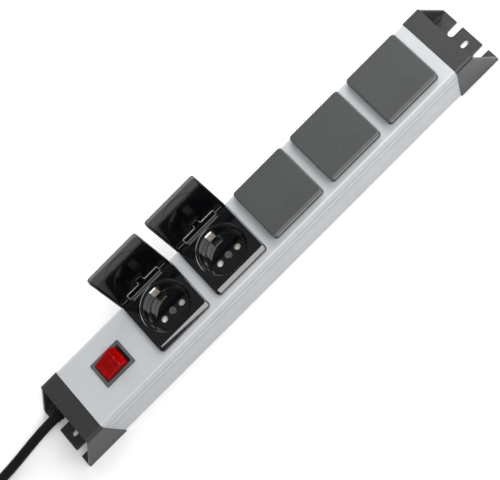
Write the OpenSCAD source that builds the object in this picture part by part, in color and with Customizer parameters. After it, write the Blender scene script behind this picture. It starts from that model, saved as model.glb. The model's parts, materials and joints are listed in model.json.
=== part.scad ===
// Desk power strip: an aluminium profile with five earthed sockets under hinged lids, a lit rocker
// switch, two screw-down end caps and a moulded mains cord that is wound up beside it.
// Origin: on the table, under the middle of the strip. X runs from the cord's end to the far end,
// Y points to the lids' hinges and Z points up. Millimetres.

/* [Profile] */
// Length of the aluminium profile
profile_l = 389; // [388:1:392]
// Width of the aluminium profile
profile_w = 62; // [62:0.1:62.4]
// Height of the profile's top face
profile_top = 38.6; // [38.4:0.1:38.8]
// Thickness of the profile's walls
profile_wall = 1.8; // [1.6:0.1:1.9]

/* [End caps] */
// Width over the end caps
cap_w = 64; // [63.6:0.1:65]
// Height of the end caps
cap_h = 39; // [39:0.1:40]
// How far the cap's top reaches past the profile
cap_top_l = 17; // [16:0.5:20]
// How far the screw-down foot reaches past the profile
cap_foot_l = 35; // [34:0.5:38]
// Width of the open slots in the foot
open_slot_w = 7.4; // [5:0.2:7.6]
// Width of the closed slot in the foot
closed_slot_w = 5; // [4:0.2:5.4]
// Length of the closed slot in the foot
closed_slot_l = 8.5; // [6:0.5:8.5]

/* [Sockets] */
// Distance from one socket to the next
socket_pitch = 62.5; // [61.5:0.1:62.8]
// Width of a socket's face plate, along the strip
frame_w = 53.4; // [52:0.2:54]
// Depth of a socket's face plate, across the strip
frame_d = 52.4; // [51.6:0.2:52.6]
// Height of the face plate's top
frame_top = 43.4; // [43:0.1:43.6]
// Radius of the round recess
recess_r = 19.6; // [19.4:0.1:19.8]
// Height of the recess's floor
floor_z = 26; // [25.9:0.1:26.2]
// Distance between the two pin holes
pin_gap = 19; // [19]
// Radius of the pin holes
pin_hole_r = 2.75; // [2.5:0.05:3]

/* [Lids] */
// Width of a lid, along the strip
lid_w = 53; // [52:0.2:53.4]
// Height of a closed lid's top
lid_top = 47.8; // [47.6:0.1:47.9]
// How far a lid opens, in degrees
lid_open = 104; // [90:1:104]

/* [Switch] */
// Length of the switch's bezel, along the strip
bezel_l = 30.4; // [29.5:0.1:31]
// Width of the switch's bezel, across the strip
bezel_w = 24.4; // [24:0.1:25]
// How far the rocker leans from level, in degrees
rocker_lean = 20; // [12:1:20]

/* [Cord] */
// Diameter of the cord
cord_d = 8.2; // [8.2]

/* [Hidden] */
$fn = 48;
facet_sides = 12;
eps = 0.01;

SOCKETS = [1, 2, 3, 4, 5];
OPEN_SOCKETS = [1, 2];
first_socket_x = -93;
socket_y = 2;
function socket_x(i) = first_socket_x + (i - 1) * socket_pitch;

profile_bottom = 1.4;
half_l = profile_l / 2;
inner_y = profile_w / 2 - profile_wall;
channel_y = 27.2;
channel_z = 14;
channel_r = 2.3;
channel_bore_r = 1.45;

cap_wall = 2;
cap_foot_t = 3;
cap_end_x = half_l + cap_top_l;
cap_foot_x = half_l + cap_foot_l;
foot_y = -2.4;
open_slot_gap = 29.9;
open_slot_x = 220.2;
closed_slot_x = 220.3;
skirt_l = 6;

frame_corner_r = 3;
neck_w = 46.4;
neck_d = 45;
neck_z = 33;
cup_wall = 1.3;
floor_t = 2.4;
recess_bevel = 1.8;
clip_slot_w = 7.8;

hinge_y = 24.2;
hinge_z = 45.2;
barrel_r = 1.4;
barrel_inset = 0.3;
barrel_end_x = 24.3;
pin_end_x = 24;
heel_inset = 0.4;
heel_l = 1.65;
heel_t = 0.9;
hinge_pin_r = 0.6;
hinge_bore_r = 0.65;
knuckle_w = 31.8;
knuckle_front = 1.3;
knuckle_back = 0.95;
window_w = 34.2;
window_front = 7;
window_top = 46.8;
lid_bottom = 43.7;
lid_skin = 1.9;
lid_rim = 1.3;
lid_front = -26.4;
lid_back = hinge_y + 1;
tray_d = 45.6;
tray_y = -2.3;
seal_r = 20;

// The spring wire's route on the lid's inner face: a wide bar with a tongue in its middle
SPRING = [[-16.6, 22.9], [-16.6, 18], [-2.9, 18], [-2.9, 12.4], [2.9, 12.4], [2.9, 18],
          [16.6, 18], [16.6, 22.9]];
spring_t = 0.8;
spring_z = 44.7;
hook_w = 9.2;
hook_slot_w = 6.9;
hook_bottom = 44.05;
hook_floor = 44.6;
hook_top = 46;
hook_half_d = 0.7;

post_r = 3;
spigot_r = 2.4;
shutter_z = 21.3;
shutter_t = 1.7;
spigot_top = 23.4;
post_top = 20.8;
screw_r = 1.5;

rail_z = 9;
rail_t = 0.8;
rail_w = 4;
rail_y = 4.6;
rail_x0 = -134;
rail_x1 = 178;
leaf_top = 20.5;
leaf_gap = 5;
leaf_t = 0.6;
leaf_l = 6;
carrier_z = 4.4;
carrier_t = 1.1;
strap_z = 6.4;

switch_x = -155;
switch_y = 0.7;
switch_body_l = 27;
switch_body_w = 21.4;
switch_body_z = 18;
bezel_top = 40.2;
rocker_z = 34.6;
rocker_half_w = 8.7;
pivot_r = 1.5;
terminal_z = 10;

cord_y = 14;
cord_z = 15;
cord_r = cord_d / 2;
relief_tip_x = -223.5;
relief_back_x = -199.5;
sheath_end_x = -174;
clamp_x = -190;
clamp_l = 8;
clamp_screw_gap = 13.6;

// The lead's route: straight out of the strain relief, down to the table, then to the coil
LEAD = [[-223.5, 14, 15], [-226, 14, 15], [-234, 14, 14.6], [-246, 14, 13], [-258, 14, 10.6],
        [-270, 14, 8], [-282, 14, 6], [-294, 14.3, 4.8], [-306, 16.6, 4.3], [-320, 21.4, 4.3],
        [-334, 27, 4.4], [-348, 32, 4.7], [-358, 33.7, 4.9], [-364, 34, 5]];
coil_x = -364;
coil_y = -16;
coil_outer_r = 50;
coil_inner_r = 41.6;
coil_z = 5;
coil_step = 8.3;
coil_gap = 25;
// The tail's route: off the top turn of the coil and into the plug
TAIL = [[-364, -66, 21.6], [-352, -66, 21.6], [-340, -66, 21.2], [-328, -66, 20.3],
        [-316, -66, 19.2], [-304, -66, 18.5], [-302, -66, 18.5]];
tie_angle = 150;
tie_w = 12;
tie_t = 0.7;
plug_x = -302;
plug_y = -66;
plug_z = 18.5;
plug_face_x = -260;
plug_pin_r = 2.4;
plug_pin_l = 19;

// The conductors inside the housing
wire_r = 1.2;
LIVE_IN = [[-173.95, 15.8, 15.8], [-173, 15.8, 15.8], [-171, 15.8, 14.6], [-167, 14, 9.5],
           [-164, 9.5, 6.6], [-162, 6.6, 7], [-162, 6, 10]];
NEUTRAL_IN = [[-173.95, 12.2, 15.8], [-173, 12.2, 15.8], [-171.6, 10.5, 15], [-170.8, 6, 12],
              [-170, 0, 8.6], [-166, -4.4, 6.6], [-162.4, -5, 7], [-162, -5, 10]];
LIVE_OUT = [[-148, 6, 10], [-147.6, 6.2, 7.2], [-144, 7.5, 6.4], [-139, 8.4, 8.6], [-134, 8.6, 9.4]];
NEUTRAL_OUT = [[-148, -5, 10], [-147.6, -5, 7.2], [-144, -4.8, 6.4], [-139, -4.6, 8.6],
               [-134, -4.6, 9.4]];
EARTH_IN = [[-173.95, 14, 12.8], [-173, 14, 12.8], [-171, 15, 10.5], [-167, 18, 6.4],
            [-160, 20, 4.4], [-150, 20, 4], [-142, 17, 4.4], [-138, 8, 5.6], [-136, 3.4, 6.2],
            [-134, 2.4, 6]];

function along(p, i) = p[min(i + 1, len(p) - 1)] - p[max(i - 1, 0)];
function unit(v) = v / norm(v);
// One ring of a tube round point i of route p
function ring(p, i, r, sides, side_way) =
    let (t = unit(along(p, i)), u = unit(cross(side_way, t)), v = cross(t, u))
    [for (k = [0 : sides - 1]) p[i] + r * (cos(360 * k / sides) * u + sin(360 * k / sides) * v)];

// Shared shapes

module rounded_square(w, d, r) {
    square([w - 2 * r, d], center = true);
    square([w, d - 2 * r], center = true);
    for (x = [-1, 1], y = [-1, 1])
        translate([x * (w / 2 - r), y * (d / 2 - r)]) circle(r);
}

module rounded_block(w, d, h, r) {
    linear_extrude(h) rounded_square(w, d, r);
}

// Extrudes an outline drawn in Y and Z along X, from x0 over a length l
module along_x(x0, l) {
    translate([x0, 0, 0]) rotate([90, 0, 90]) linear_extrude(l) children();
}

module rod_x(x0, l, r) {
    translate([x0, 0, 0]) rotate([0, 90, 0]) cylinder(r = r, h = l);
}

// A round tube swept along a route of points
module tube(p, r, sides, side_way = [0, 1, 0]) {
    n = len(p);
    rings = [for (i = [0 : n - 1]) each ring(p, i, r, sides, side_way)];
    walls = [for (i = [0 : n - 2], k = [0 : sides - 1])
        let (a = i * sides + k, b = i * sides + (k + 1) % sides)
        each [[a, a + sides, b + sides], [a, b + sides, b]]];
    ends = [[for (k = [0 : sides - 1]) k], [for (k = [sides - 1 : -1 : 0]) (n - 1) * sides + k]];
    polyhedron(rings, concat(walls, ends));
}

module at_socket(i) {
    translate([socket_x(i), socket_y, 0]) children();
}

// A pan-head screw with a cross recess that points down from z = 0
module pan_screw(shank_r, shank_l, head_r, head_h) {
    difference() {
        union() {
            cylinder(r = head_r, h = head_h);
            translate([0, 0, -shank_l]) cylinder(r = shank_r, h = shank_l + eps);
        }
        for (a = [0, 90]) rotate(a)
            translate([-head_r * 0.6, -0.35, head_h * 0.45]) cube([head_r * 1.2, 0.7, head_h]);
    }
}

// Housing

module profile_outline() {
    r = 3;
    w = profile_w;
    difference() {
        union() {
            translate([-w / 2, profile_bottom]) square([w, profile_top - profile_bottom - r]);
            translate([-w / 2 + r, profile_bottom]) square([w - 2 * r, profile_top - profile_bottom]);
            for (s = [-1, 1]) translate([s * (w / 2 - r), profile_top - r]) circle(r);
        }
        translate([-inner_y, profile_bottom - 1])
            square([2 * inner_y, profile_top - profile_wall - profile_bottom + 1]);
        // two shadow grooves and a band of fine ribs on each side
        for (s = [-1, 1], z = [24.2, 31.4])
            translate([s * w / 2, z]) square([1.8, 1.2], center = true);
        for (s = [-1, 1], k = [0 : 10])
            translate([s * w / 2, 3.4 + k * 1.8]) square([1, 0.8], center = true);
    }
    for (s = [-1, 1]) {
        // lips that hold the base plate
        for (z = [profile_bottom, 4.5])
            translate([s * (inner_y - 1) - 1 - eps, z]) square([2 + 2 * eps, 1.1]);
        // screw channel
        difference() {
            union() {
                translate([s * channel_y, channel_z]) circle(channel_r);
                translate([s * (inner_y - 0.9), channel_z]) square([2, 3], center = true);
            }
            translate([s * channel_y, channel_z]) circle(channel_bore_r);
        }
    }
}

module profile_housing() color("silver") difference() {
    along_x(-half_l, profile_l) profile_outline();
    for (i = SOCKETS) at_socket(i)
        translate([0, 0, profile_top - profile_wall - 1])
            rounded_block(neck_w + 0.6, neck_d + 0.6, profile_wall + 2, 3.3);
    translate([switch_x, switch_y, profile_top - profile_wall - 1])
        rounded_block(switch_body_l + 0.4, switch_body_w + 0.4, profile_wall + 2, 0.6);
}

module base_plate() color("dimgray") along_x(-half_l, profile_l) {
    translate([-25.5, 0]) square([51, 1.5]);
    for (s = [-1, 1]) {
        translate([s * 24.75 - 0.75, 0]) square([1.5, 4.3]);
        translate([s * 26.75 - 2, 2.7]) square([4, 1.6]);
    }
}

// End cap at the +X end; the other one is its mirror image
module end_cap_shell() {
    hollow_l = cap_end_x - half_l - 2.4;
    difference() {
        union() {
            // box over the profile's end
            along_x(half_l + 0.1, cap_top_l - 0.1) cap_outline(cap_w / 2, 0, cap_h, 3);
            // screw-down foot and its two side walls
            translate([cap_end_x - eps, -cap_w / 2, 0])
                cube([cap_foot_l - cap_top_l + eps, cap_w, cap_foot_t]);
            for (s = [-1, 1]) translate([0, s * (cap_w / 2 - cap_wall / 2), 0])
                cap_gusset();
            // foot rails inside the side walls
            for (s = [-1, 1]) translate([cap_end_x - eps, s * 28.7 - 1.4, cap_foot_t - eps])
                cube([12, 2.8, 2.4]);
        }
        // hollow that faces the profile
        along_x(half_l, hollow_l) translate([-cap_w / 2 + 2.4, cap_foot_t])
            square([cap_w - 4.8, cap_h - cap_foot_t - 2.4]);
        foot_slots();
        for (s = [-1, 1]) translate([0, s * channel_y, channel_z]) rod_x(cap_end_x - 5, 6, 1.6);
    }
    // skirts that lap over the profile's sides, with slanted edges
    for (s = [-1, 1]) translate([0, s * (cap_w / 2 - 0.45) + 0.45, 0]) rotate([90, 0, 0])
        linear_extrude(0.9) polygon([[half_l - skirt_l, 0], [half_l + 1, 0], [half_l + 1, 34],
                                     [half_l, 34]]);
    // tongues that slide into the profile
    for (s = [-1, 1]) translate([half_l - 8, s * 27.6 - 1.3, 20]) cube([10.5, 2.6, 13]);
    for (s = [-1, 1]) translate([half_l + 0.1, s * 28 - 1.7, 20]) cube([3, 3.4, 13]);
}

module cap_outline(half_w, z0, z1, r) {
    translate([-half_w, z0]) square([2 * half_w, z1 - z0 - r]);
    translate([-half_w + r, z0]) square([2 * (half_w - r), z1 - z0]);
    for (s = [-1, 1]) translate([s * (half_w - r), z1 - r]) circle(r);
}

module cap_gusset() {
    translate([0, cap_wall / 2, 0]) rotate([90, 0, 0]) linear_extrude(cap_wall)
        polygon([[cap_end_x - 1, 0], [cap_foot_x, 0], [cap_foot_x, cap_foot_t],
                 [cap_end_x, cap_h - 3], [cap_end_x - 1, cap_h - 3]]);
}

module foot_slots() {
    for (s = [-1, 1]) translate([open_slot_x, foot_y + s * open_slot_gap / 2, -1]) {
        cylinder(r = open_slot_w / 2, h = 5);
        translate([0, -open_slot_w / 2, 0]) cube([20, open_slot_w, 5]);
    }
    run = closed_slot_l - closed_slot_w;
    translate([closed_slot_x, foot_y, -1]) {
        for (s = [-1, 1]) translate([s * run / 2, 0, 0])
            cylinder(r = closed_slot_w / 2, h = 5);
        translate([-run / 2, -closed_slot_w / 2, 0]) cube([run, closed_slot_w, 5]);
    }
}

module end_cap_far() color("dimgray") end_cap_shell();

module end_cap_cable() color("dimgray") difference() {
    mirror([1, 0, 0]) end_cap_shell();
    translate([0, cord_y, cord_z]) rod_x(-cap_end_x - 1, 6, 5.7);
}

module end_cap_screws() color("gainsboro")
    for (sx = [-1, 1], sy = [-1, 1])
        translate([sx * cap_end_x, sy * channel_y, channel_z]) rotate([0, sx * 90, 0])
            pan_screw(1.4, 26, 2.5, 1.7);

// Sockets, drawn about each socket's own centre

// The block that carries the hinge pin; its top is open, so that the pin shows
module hinge_knuckle() {
    difference() {
        translate([-knuckle_w / 2, hinge_y - knuckle_front, frame_top - eps])
            cube([knuckle_w, knuckle_front + knuckle_back, hinge_z - frame_top + eps]);
        translate([0, hinge_y, hinge_z]) rod_x(-knuckle_w, 2 * knuckle_w, hinge_bore_r);
    }
}

module socket_frame() color("#181a1c") {
    difference() {
        union() {
            translate([0, 0, profile_top])
                rounded_block(frame_w, frame_d, frame_top - profile_top, frame_corner_r);
            translate([0, 0, neck_z])
                rounded_block(neck_w, neck_d, profile_top - neck_z + eps, frame_corner_r);
            translate([0, 0, floor_z - floor_t])
                cylinder(r = recess_r + cup_wall, h = profile_top - floor_z + floor_t);
            // snap hooks under the profile's top wall
            for (sx = [-1, 1], y = [-12, 12])
                translate([sx * (neck_w / 2 + 0.3) - 0.8, y - 3, 34.4]) cube([1.6, 6, 2.2]);
        }
        translate([0, 0, floor_z]) cylinder(r = recess_r, h = frame_top);
        translate([0, 0, frame_top - recess_bevel])
            cylinder(r1 = recess_r, r2 = recess_r + recess_bevel, h = recess_bevel);
        for (s = [-1, 1]) translate([s * pin_gap / 2, 0, floor_z - floor_t - 1])
            cylinder(r = pin_hole_r, h = floor_t + 2);
        translate([0, 0, floor_z - floor_t - 1]) cylinder(r = 1.7, h = floor_t + 2);
        // slots that the earth clip's fingers reach through
        for (s = [-1, 1])
            translate([-clip_slot_w / 2, s * 19.1 - 3.6, 27.2]) cube([clip_slot_w, 7.2, 12.6]);
    }
    hinge_knuckle();
    // guide ribs at both ends of the pins' line
    for (s = [-1, 1]) translate([s * (recess_r - 0.7) - 1.2, -2.4, floor_z - eps])
        cube([2.4, 4.8, 15.2]);
}

// Hinge barrels with the heels that stop the lid when it is open
module lid_barrels() {
    start_x = window_w / 2 + barrel_inset;
    w = barrel_end_x - start_x;
    for (s = [-1, 1]) translate([s * (start_x + barrel_end_x) / 2, hinge_y, hinge_z]) {
        rod_x(-w / 2, w, barrel_r);
        rotate([lid_open - 90, 0, 0]) translate([-w / 2 + heel_inset, 0, -heel_t / 2])
            cube([w - 2 * heel_inset, heel_l, heel_t]);
    }
}

// Bridge under the end of the spring's tongue
module spring_hook() {
    translate([0, SPRING[3].y + hook_half_d, 0]) rotate([90, 0, 0])
        linear_extrude(2 * hook_half_d)
            polygon([[-hook_w / 2, hook_top], [-hook_w / 2, hook_bottom],
                     [hook_w / 2, hook_bottom], [hook_w / 2, hook_top],
                     [hook_slot_w / 2, hook_top], [hook_slot_w / 2, hook_floor],
                     [-hook_slot_w / 2, hook_floor], [-hook_slot_w / 2, hook_top]]);
}

module lid_closed() {
    difference() {
        union() {
            difference() {
                translate([0, (lid_front + lid_back) / 2, lid_bottom])
                    rounded_block(lid_w, lid_back - lid_front, lid_top - lid_bottom, 3);
                translate([-lid_w, hinge_y, lid_bottom - 1])
                    cube([2 * lid_w, 10, hinge_z - lid_bottom + 1]);
                // tray inside the rim
                translate([0, tray_y, lid_bottom - 1])
                    rounded_block(lid_w - 2 * lid_rim, tray_d, lid_top - lid_skin - lid_bottom + 1,
                                  2);
            }
            lid_barrels();
            spring_hook();
            // fine ring on the inner face
            translate([0, 0, lid_top - lid_skin - 0.3]) difference() {
                cylinder(r = seal_r, h = 0.4);
                translate([0, 0, -1]) cylinder(r = seal_r - 0.5, h = 2);
            }
        }
        // window for the knuckle, closed above by the lid's skin
        translate([-window_w / 2, hinge_y - window_front, lid_bottom - 1])
            cube([window_w, 10, window_top - lid_bottom + 1]);
        translate([-lid_w, hinge_y, hinge_z]) rod_x(0, 2 * lid_w, hinge_bore_r);
    }
}

module turned_with_lid(i) {
    opened = len(search(i, OPEN_SOCKETS)) > 0 ? lid_open : 0;
    translate([0, hinge_y, hinge_z]) rotate([-opened, 0, 0]) translate([0, -hinge_y, -hinge_z])
        children();
}

module socket_lid(i) color("dimgray") turned_with_lid(i) lid_closed();

module socket_lid_spring(i) color("gainsboro") turned_with_lid(i)
    translate([0, 0, spring_z]) linear_extrude(spring_t)
        for (k = [0 : len(SPRING) - 2]) {
            a = SPRING[k];
            b = SPRING[k + 1];
            translate([min(a.x, b.x), min(a.y, b.y)] - [spring_t, spring_t] / 2)
                square([abs(a.x - b.x), abs(a.y - b.y)] + [spring_t, spring_t]);
        }

module hinge_pins() color("gainsboro")
    for (i = SOCKETS) at_socket(i)
        translate([0, hinge_y, hinge_z]) rod_x(-pin_end_x, 2 * pin_end_x, hinge_pin_r);

module socket_shutter() color("ivory") translate([0, 0, shutter_z]) difference() {
    union() {
        cylinder(r = 4.6, h = shutter_t);
        for (s = [-1, 1]) {
            translate([s * pin_gap / 2, 0, 0]) cylinder(r = 3.5, h = shutter_t);
            translate([s * pin_gap / 4 - pin_gap / 4, -2.4, 0]) cube([pin_gap / 2, 4.8, shutter_t]);
        }
    }
    translate([0, 0, -1]) cylinder(r = spigot_r + 0.05, h = shutter_t + 2);
}

// One arm of the earth clip: up outside the cup, over its edge and down inside as a spring finger
module earth_arm() {
    along_x(-3.2, 6.4) polygon([[21.1, strap_z], [22, strap_z], [22, 39.4], [18.2, 39.4],
                                [16.6, 33.5], [18.4, 28.2], [19.1, 28.5], [17.4, 33.5],
                                [18.8, 38.6], [21.2, 38.6]]);
}

module socket_earth_clip() color("gold") {
    translate([-3.2, -21.5, strap_z]) cube([6.4, 43, 0.8]);
    earth_arm();
    mirror([0, 1, 0]) earth_arm();
    difference() {
        union() {
            translate([0, 0, strap_z + 0.4]) cylinder(r = post_r, h = post_top - strap_z - 0.4);
            translate([0, 0, post_top - eps]) cylinder(r = spigot_r, h = spigot_top - post_top);
        }
        translate([0, 0, strap_z + 2.6]) cylinder(r = screw_r + 0.05, h = 30);
    }
}

module socket_screws() color("gainsboro")
    for (i = SOCKETS) at_socket(i) translate([0, 0, floor_z]) pan_screw(screw_r, 15, 2.9, 1.4);

// Rails and their carrier

module rail_carrier() color("white") difference() {
    union() {
        translate([-128, -25.2, carrier_z]) cube([311, 50.4, carrier_t]);
        for (s = [-1, 1]) translate([-128, socket_y + s * 6.6 - 1, carrier_z])
            cube([311, 2, rail_z - carrier_z - 0.1]);
    }
    for (i = SOCKETS) at_socket(i)
        translate([-4, -24, carrier_z + carrier_t]) cube([8, 48, 10]);
}

// A long brass strip with one spring contact at each socket; side is +1 or -1 across the strip
module contact_rail(side) {
    translate([rail_x0, socket_y + (side > 0 ? rail_y : -rail_y - rail_w), rail_z])
        cube([rail_x1 - rail_x0, rail_w, rail_t]);
    for (i = SOCKETS) at_socket(i) translate([-side * pin_gap / 2 - leaf_l / 2, 0, rail_z]) {
        translate([0, side > 0 ? -leaf_gap / 2 - leaf_t : -rail_y - eps, 0])
            cube([leaf_l, leaf_gap / 2 + leaf_t + rail_y + eps, rail_t]);
        for (s = [-1, 1]) translate([0, s * (leaf_gap + leaf_t) / 2 - leaf_t / 2, 0])
            cube([leaf_l, leaf_t, leaf_top - rail_z]);
    }
}

module live_rail() color("goldenrod") contact_rail(1);

module neutral_rail() color("goldenrod") contact_rail(-1);

module earth_rail() color("goldenrod")
    translate([rail_x0, socket_y - 3, strap_z - rail_t]) cube([rail_x1 - rail_x0, 6, rail_t]);

// Switch, drawn about its own centre

module at_switch() {
    translate([switch_x, switch_y, 0]) children();
}

module switch_housing() color("dimgray") at_switch() difference() {
    union() {
        translate([0, 0, profile_top])
            rounded_block(bezel_l, bezel_w, bezel_top - profile_top, 0.8);
        translate([0, 0, switch_body_z])
            rounded_block(switch_body_l, switch_body_w, profile_top - switch_body_z + eps, 0.5);
    }
    translate([-12.6, -9.2, switch_body_z + 1.5]) cube([25.2, 18.4, profile_top - switch_body_z - 2]);
    translate([-12.4, -9, profile_top - 2]) cube([24.8, 18, 10]);
    translate([0, 0, rocker_z]) rotate([90, 0, 0]) translate([0, 0, -10.2])
        cylinder(r = pivot_r + 0.05, h = 20.4);
}

// The rocker leans towards -X: its -X end is pressed in and its +X end stands out
module at_rocker() {
    at_switch() translate([0, 0, rocker_z]) rotate([0, -rocker_lean, 0]) children();
}

module across_y(half) {
    translate([0, half, 0]) rotate([90, 0, 0]) linear_extrude(2 * half) children();
}

module switch_rocker() color("red") at_rocker() {
    difference() {
        across_y(rocker_half_w)
            polygon([[-8.7, 10], [8.7, 10], [11.4, 4.5], [10.8, 0], [7, -5], [-7, -5], [-10.8, 0],
                     [-11.4, 4.5]]);
        across_y(rocker_half_w - 1.4)
            polygon([[-7.4, 8.5], [7.4, 8.5], [9.8, 3.9], [9, -6], [-9, -6], [-9.8, 3.9]]);
    }
    for (s = [-1, 1]) translate([0, s * (rocker_half_w + 0.5), 0]) across_y(0.8) circle(pivot_r);
}

module switch_lamp() color("orange") at_rocker() translate([0, 0, 3]) across_y(5) circle(2);

module switch_terminals() color("gainsboro") at_switch()
    for (x = [-7, 7], y = [-5.7, 5.3])
        translate([x - 0.4, y - 2.4, terminal_z]) cube([0.8, 4.8, switch_body_z - terminal_z]);

// Conductors inside the housing

wire_side = [0.45, 0.85, 0.28];
module wire_live_in() color("saddlebrown") tube(LIVE_IN, wire_r, 8, wire_side);
module wire_live_out() color("saddlebrown") tube(LIVE_OUT, wire_r, 8, wire_side);
module wire_neutral_in() color("royalblue") tube(NEUTRAL_IN, wire_r, 8, [0.9, 0.1, -0.42]);
module wire_neutral_out() color("royalblue") tube(NEUTRAL_OUT, wire_r, 8, wire_side);
module wire_earth() color("yellowgreen") tube(EARTH_IN, wire_r, 8, [0.1, 0.3, 0.95]);

// Cord entry

module strain_relief() color("#1c1c1c") translate([0, cord_y, cord_z]) difference() {
    union() {
        rod_x(relief_back_x - 12, 12, 5.6);
        rod_x(-cap_end_x + 2.5, 2.4, 7.4);
        translate([relief_tip_x, 0, 0]) rotate([0, 90, 0])
            cylinder(r1 = 4.9, r2 = 5.6, h = -cap_end_x - relief_tip_x + eps);
    }
    rod_x(relief_tip_x - 1, 30, cord_r + 0.05);
}

module cord_sheath_end() color("#1c1c1c") translate([0, cord_y, cord_z])
    rod_x(relief_tip_x, sheath_end_x - relief_tip_x, cord_r);

module clamp_holes() {
    translate([0, cord_y, cord_z]) rod_x(clamp_x - 1, clamp_l + 2, cord_r + 0.05);
    for (s = [-1, 1]) translate([clamp_x + clamp_l / 2, cord_y + s * clamp_screw_gap / 2, 5])
        cylinder(r = 1.45, h = 30);
}

module cord_clamp_saddle() color("dimgray") difference() {
    translate([clamp_x, cord_y - 9.2, 1.5]) cube([clamp_l, 18.4, 13]);
    clamp_holes();
}

module cord_clamp_bar() color("dimgray") difference() {
    translate([clamp_x, cord_y - 9.2, 15.5]) cube([clamp_l, 18.4, 5.5]);
    clamp_holes();
}

module cord_clamp_screws() color("gainsboro")
    for (s = [-1, 1])
        translate([clamp_x + clamp_l / 2, cord_y + s * clamp_screw_gap / 2, 21])
            pan_screw(1.4, 15, 2.3, 1.5);

// Free cord, its coil and its plug

module cord_lead() color("#1c1c1c") tube(LEAD, cord_r, facet_sides);

module cord_tail() color("#1c1c1c") tube(TAIL, cord_r, facet_sides);

// The coil's outer shape: two full layers and a third one that runs over the outer turns only,
// with a gap between the third layer's two ends
module cord_coil() color("#1c1c1c") translate([coil_x, coil_y, 0]) {
    r0 = coil_inner_r - cord_r;
    r1 = coil_outer_r - cord_r;
    r2 = coil_outer_r + cord_r;
    z0 = coil_z - cord_r;
    z1 = coil_z + coil_step + cord_r;
    z2 = coil_z + 2 * coil_step + cord_r;
    difference() {
        rotate_extrude() polygon([[r0, z0], [r2, z0], [r2, z2], [r1, z2], [r1, z1], [r0, z1]]);
        rotate([0, 0, -90]) rotate_extrude(angle = coil_gap)
            translate([r1 - 1, z1 + 0.2]) square([cord_d + 2, coil_step]);
    }
}

module cord_tie() color("black") translate([coil_x, coil_y, 0]) {
    half = tie_w / 2 / coil_inner_r * 180 / PI;
    r0 = coil_inner_r - cord_r - 0.2;
    r1 = coil_outer_r + cord_r + 0.2;
    z0 = coil_z - cord_r - 0.2;
    z1 = coil_z + 2 * coil_step + cord_r + 0.2;
    rotate([0, 0, tie_angle - half]) rotate_extrude(angle = 2 * half) difference() {
        translate([r0 - tie_t, z0 - tie_t]) square([r1 - r0 + 2 * tie_t, z1 - z0 + 2 * tie_t]);
        translate([r0, z0]) square([r1 - r0, z1 - z0]);
    }
}

module plug_body() color("#1c1c1c") translate([0, plug_y, plug_z]) difference() {
    union() {
        translate([plug_x, 0, 0]) rotate([0, 90, 0]) cylinder(r1 = 5.2, r2 = 7.5, h = 14);
        translate([plug_x + 14 - eps, 0, 0]) rotate([0, 90, 0])
            cylinder(r1 = 9.5, r2 = 14, h = 10 + eps);
        rod_x(plug_x + 24 - eps, plug_face_x - plug_x - 24, 18.4);
    }
    // grooves for the socket's guide ribs
    for (s = [-1, 1]) translate([plug_face_x - 16, s * 17.6 - 1.6, -3.1]) cube([20, 3.2, 6.2]);
    // seats of the earth strips
    for (s = [-1, 1]) translate([plug_face_x - 15, -3.4, s * 18 - 1.1]) cube([20, 6.8, 2.2]);
}

module plug_pins() color("gainsboro") for (s = [-1, 1])
    translate([plug_face_x, plug_y + s * pin_gap / 2, plug_z]) {
        rod_x(0, plug_pin_l - 1.5, plug_pin_r);
        translate([plug_pin_l - 1.5 - eps, 0, 0]) rotate([0, 90, 0])
            cylinder(r1 = plug_pin_r, r2 = 1.2, h = 1.5);
    }

module plug_earth_strips() color("gainsboro") for (s = [-1, 1])
    translate([plug_face_x - 15, plug_y - 3.2, plug_z + s * 17.4 - 0.4]) cube([15, 6.4, 0.8]);

// Nodes

profile_housing();
base_plate();
end_cap_cable();
end_cap_far();
end_cap_screws();
for (i = SOCKETS) {
    at_socket(i) socket_frame();
    at_socket(i) socket_lid(i);
    at_socket(i) socket_lid_spring(i);
    at_socket(i) socket_shutter();
    at_socket(i) socket_earth_clip();
}
hinge_pins();
socket_screws();
rail_carrier();
live_rail();
neutral_rail();
earth_rail();
switch_housing();
switch_rocker();
switch_lamp();
switch_terminals();
wire_live_in();
wire_neutral_in();
wire_live_out();
wire_neutral_out();
wire_earth();
strain_relief();
cord_sheath_end();
cord_clamp_saddle();
cord_clamp_bar();
cord_clamp_screws();
cord_lead();
cord_coil();
cord_tail();
cord_tie();
plug_body();
plug_pins();
plug_earth_strips();
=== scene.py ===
# %% [markdown]
# # A desk power strip in Blender
# The strip is an aluminium extrusion with two moulded end caps. Five earthed sockets sit in it,
# each with its own hinged lid, and a lit rocker switch sits near the cord. The exact CAD model has
# been packed already, with every part that moves on its own body. This lesson dresses that model:
# it builds softened shapes over the CAD parts that show, and gives every surface a material.

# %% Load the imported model
import json
import math
import bmesh
import bpy
from mathutils import Matrix, Vector


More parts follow.
